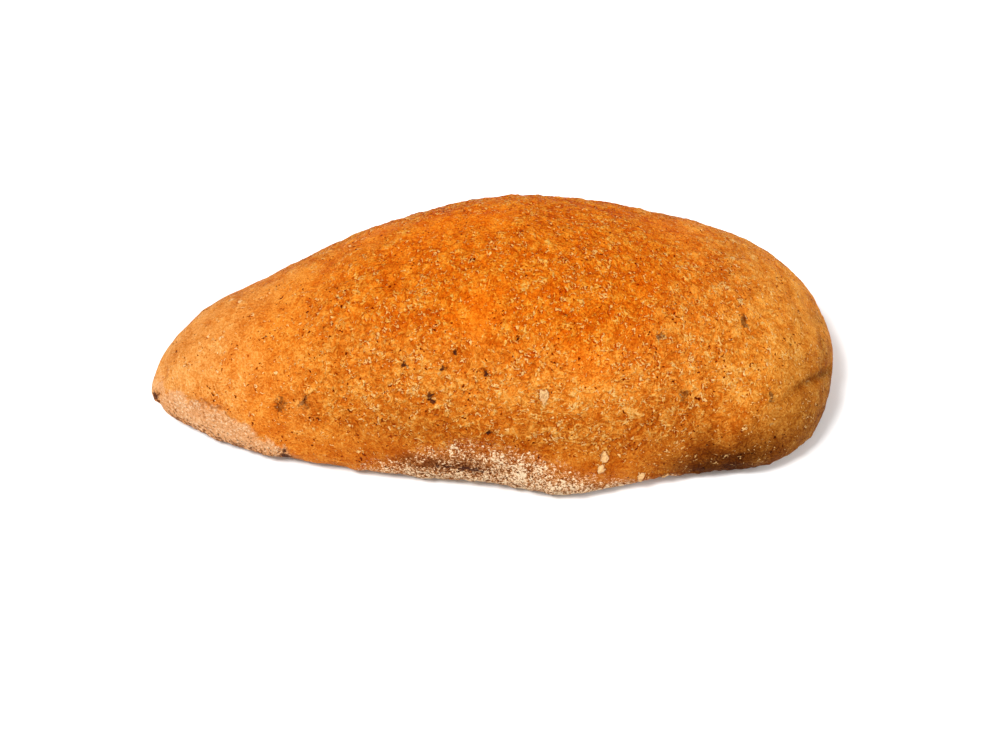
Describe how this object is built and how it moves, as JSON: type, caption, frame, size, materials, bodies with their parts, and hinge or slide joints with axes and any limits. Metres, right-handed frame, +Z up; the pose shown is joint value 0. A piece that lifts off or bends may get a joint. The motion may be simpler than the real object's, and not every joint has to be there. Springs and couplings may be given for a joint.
{
  "type": "bread roll",
  "caption": "Hand-shaped bread roll with a domed, floured crust, blunt at the right end and tapering to a nub at the left, on a flat foot.",
  "frame": {"origin": "bottom centre of the bounding box, on the flat foot", "axes": "+X along the roll from the tapered nub to the blunt end, -Y the floured front with the lip, +Z up through the crown"},
  "size_m": [0.17, 0.08, 0.0496],
  "materials": {
    "crust": "matte"
  },
  "bodies": {
    "root": {"bread_roll": "crust"}
  },
  "joints": []
}
